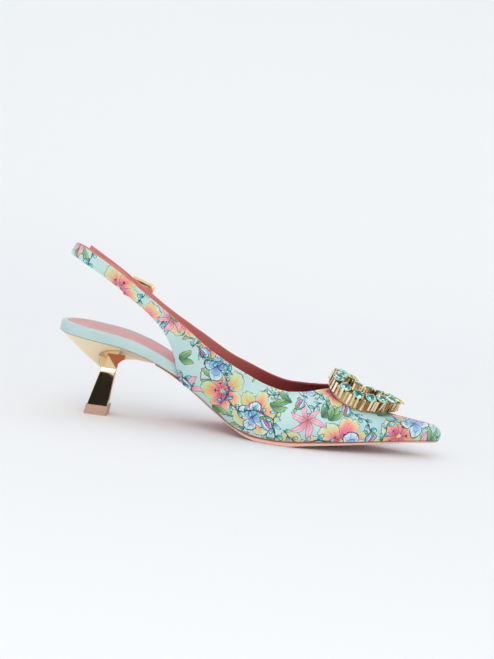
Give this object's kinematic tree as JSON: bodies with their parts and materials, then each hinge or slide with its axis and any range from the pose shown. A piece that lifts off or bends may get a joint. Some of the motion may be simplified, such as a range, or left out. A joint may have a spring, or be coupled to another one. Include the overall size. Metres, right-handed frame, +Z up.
{
  "type": "slingback pump",
  "caption": "Pointed-toe slingback pump with a printed satin upper, a faceted metallic kitten heel, a buckled sling strap and a stone-set heart brooch on the vamp.",
  "frame": {"origin": "middle of the bottom of the shoe's bounding box, on the floor plane under the tread and the heel", "axes": "+X from the heel to the toe, +Y to the lateral (outer) side of the foot, +Z up"},
  "size_m": [0.2582, 0.0792, 0.1109],
  "materials": {
    "satin": "printed satin",
    "aqua_leather": "smooth, semi-gloss",
    "pink_leather": "smooth, soft sheen",
    "sole_leather": "painted, satin",
    "gold": "polished plating",
    "tan_rubber": "matt",
    "aqua_stone": "faceted crystal",
    "lime_stone": "faceted crystal"
  },
  "bodies": {
    "root": {"upper": "satin", "outsole": "sole_leather", "footbed": "aqua_leather", "sock": "pink_leather", "heel": "gold", "heel_tip": "tan_rubber", "buckle_frame": "gold", "buckle_prong": "gold", "brooch_frame": "gold", "stone_01": "aqua_stone", "stone_02": "aqua_stone", "stone_03": "aqua_stone", "stone_04": "aqua_stone", "stone_05": "aqua_stone", "stone_06": "aqua_stone", "stone_07": "aqua_stone", "stone_08": "aqua_stone", "stone_09": "aqua_stone", "stone_10": "aqua_stone", "stone_11": "aqua_stone", "stone_12": "aqua_stone", "stone_13": "aqua_stone", "stone_14": "aqua_stone", "stone_pear_back": "lime_stone", "stone_pear_front": "lime_stone"}
  },
  "joints": []
}
